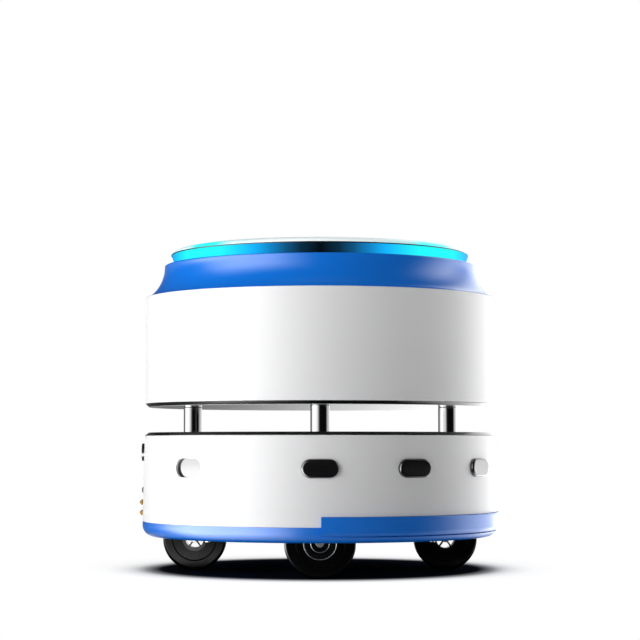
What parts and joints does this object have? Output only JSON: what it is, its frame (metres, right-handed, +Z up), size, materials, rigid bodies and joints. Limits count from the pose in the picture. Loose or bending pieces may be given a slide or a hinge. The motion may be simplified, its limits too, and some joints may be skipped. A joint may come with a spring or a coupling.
{
  "type": "robot chassis",
  "caption": "Round wheeled robot chassis: white drums joined by polished pillars across a slot, blue collar and bumper, light ring, drive wheels, swivel casters, flat payload top.",
  "frame": {"origin": "on the floor under the drums' common axis", "axes": "+Z up, +X forward (bumper side), +Y to the left"},
  "size_m": [0.514, 0.514, 0.4585],
  "materials": {
    "white_shell": "satin moulded",
    "blue_trim": "satin moulded",
    "black_trim": "fine texture",
    "grey_plate": "powder coat",
    "polished_pillar": "polished",
    "bare_plate": "milled",
    "payload_top": "bead blasted",
    "light_diffuser": "translucent, lit from behind",
    "clear_cap": "translucent",
    "window_black": "polished",
    "circuit_board": "solder mask",
    "contact_brass": "brushed",
    "dark_plastic": "fine texture",
    "steel": "zinc plated",
    "motor_case": "black oxide",
    "battery_case": "moulded",
    "heat_sink": "black anodised",
    "tyre_rubber": "moulded rubber",
    "spring_rubber": "moulded rubber",
    "wheel_core": "moulded"
  },
  "bodies": {
    "chassis": {"lower_shell": "white_shell", "upper_shell": "white_shell", "base_pan": "blue_trim", "top_collar": "blue_trim", "lower_deck": "black_trim", "upper_rim": "black_trim", "light_rim": "black_trim", "upper_plate": "grey_plate", "pillar_front": "polished_pillar", "pillar_rear": "polished_pillar", "pillar_left": "polished_pillar", "pillar_right": "polished_pillar", "chassis_plate": "bare_plate", "battery_tray": "bare_plate", "payload_posts": "bare_plate", "payload_plate": "payload_top", "light_ring": "light_diffuser", "top_cap": "clear_cap", "sensor_windows": "window_black", "rear_window": "window_black", "led_board": "circuit_board", "sensor_modules": "circuit_board", "charge_contacts": "contact_brass", "charge_block": "dark_plastic", "button_switch": "dark_plastic", "bumper_guides": "dark_plastic", "bumper_switches": "dark_plastic", "pan_standoffs": "steel", "pan_screws": "steel", "pillar_screws": "steel", "caster_screws": "steel", "bracket_screws": "steel", "caster_plate_front": "steel", "caster_plate_rear": "steel", "gearmotor_left": "motor_case", "gearmotor_right": "motor_case", "motor_bracket_left": "motor_case", "motor_bracket_right": "motor_case", "battery_pack": "battery_case", "drive_controller": "heat_sink", "main_computer": "heat_sink", "bumper_springs": "spring_rubber"},
    "front_bumper": {"front_bumper": "blue_trim", "bumper_pins": "steel"},
    "power_button": {"power_button": "dark_plastic"},
    "drive_wheel_left": {"drive_tyre_left": "tyre_rubber", "drive_hub_left": "wheel_core", "drive_shaft_left": "steel"},
    "drive_wheel_right": {"drive_tyre_right": "tyre_rubber", "drive_hub_right": "wheel_core", "drive_shaft_right": "steel"},
    "caster_swivel_front": {"caster_fork_front": "motor_case", "caster_axle_front": "steel"},
    "caster_swivel_rear": {"caster_fork_rear": "motor_case", "caster_axle_rear": "steel"},
    "caster_wheel_front": {"caster_tyre_front": "tyre_rubber", "caster_hub_front": "wheel_core"},
    "caster_wheel_rear": {"caster_tyre_rear": "tyre_rubber", "caster_hub_rear": "wheel_core"}
  },
  "joints": [
    {"name": "bumper_press", "type": "slide", "parent": "chassis", "child": "front_bumper", "axis": [-1, 0, 0], "range_m": [0, 0.004], "stiffness_N_per_m": 2000, "deforming": ["bumper_springs"]},
    {"name": "power_button_press", "type": "slide", "parent": "chassis", "child": "power_button", "axis": [1, 0, 0], "range_m": [0, 0.0015], "stiffness_N_per_m": 1500},
    {"name": "drive_roll_left", "type": "hinge", "parent": "chassis", "child": "drive_wheel_left", "pos_m": [0, 0.19, 0.048], "axis": [0, 1, 0], "continuous": true},
    {"name": "drive_roll_right", "type": "hinge", "parent": "chassis", "child": "drive_wheel_right", "pos_m": [0, -0.19, 0.048], "axis": [0, 1, 0], "continuous": true},
    {"name": "caster_turn_front", "type": "hinge", "parent": "chassis", "child": "caster_swivel_front", "pos_m": [0.153, 0, 0.11], "axis": [0, 0, 1], "continuous": true},
    {"name": "caster_roll_front", "type": "hinge", "parent": "caster_swivel_front", "child": "caster_wheel_front", "pos_m": [0.179, 0, 0.045], "axis": [0, 1, 0], "continuous": true},
    {"name": "caster_turn_rear", "type": "hinge", "parent": "chassis", "child": "caster_swivel_rear", "pos_m": [-0.153, 0, 0.11], "axis": [0, 0, 1], "continuous": true},
    {"name": "caster_roll_rear", "type": "hinge", "parent": "caster_swivel_rear", "child": "caster_wheel_rear", "pos_m": [-0.179, 0, 0.045], "axis": [0, 1, 0], "continuous": true}
  ]
}
